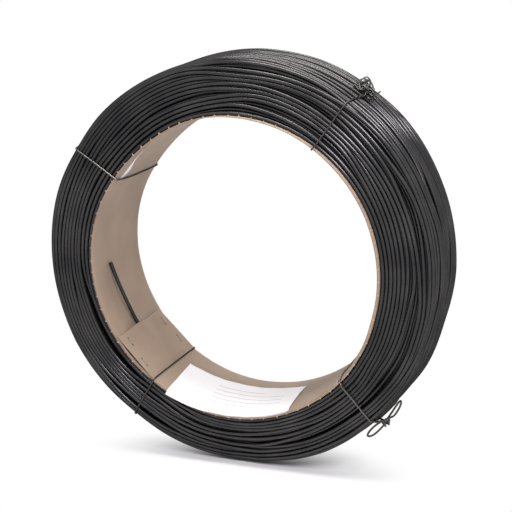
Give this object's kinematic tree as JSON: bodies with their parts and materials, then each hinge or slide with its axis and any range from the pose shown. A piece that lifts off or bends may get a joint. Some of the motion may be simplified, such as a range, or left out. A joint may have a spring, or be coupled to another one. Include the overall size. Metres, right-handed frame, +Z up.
{
  "type": "coil of welding wire",
  "caption": "Coil of thick steel welding wire wound on a ring of corrugated board, held by wire ties, standing on its rim.",
  "frame": {"origin": "on the floor under the middle of the coil, where its rim rests", "axes": "+Z up, Y along the coil's axis with the pictured end towards -Y, +X to the right"},
  "size_m": [0.4189, 0.115, 0.419],
  "materials": {
    "steel_wire": "dark drawn wire with a dull sheen",
    "board": "matt grey-brown board",
    "staple_wire": "dull",
    "paper": "matt white",
    "tie_wire": "dull annealed wire"
  },
  "bodies": {
    "root": {"wire_coil": "steel_wire", "wire_tail": "steel_wire", "core_liner": "board", "flap_staples": "staple_wire", "paper_label": "paper", "tie_upper_right": "tie_wire", "tie_upper_left": "tie_wire", "tie_lower_left": "tie_wire", "tie_lower_right": "tie_wire"}
  },
  "joints": []
}
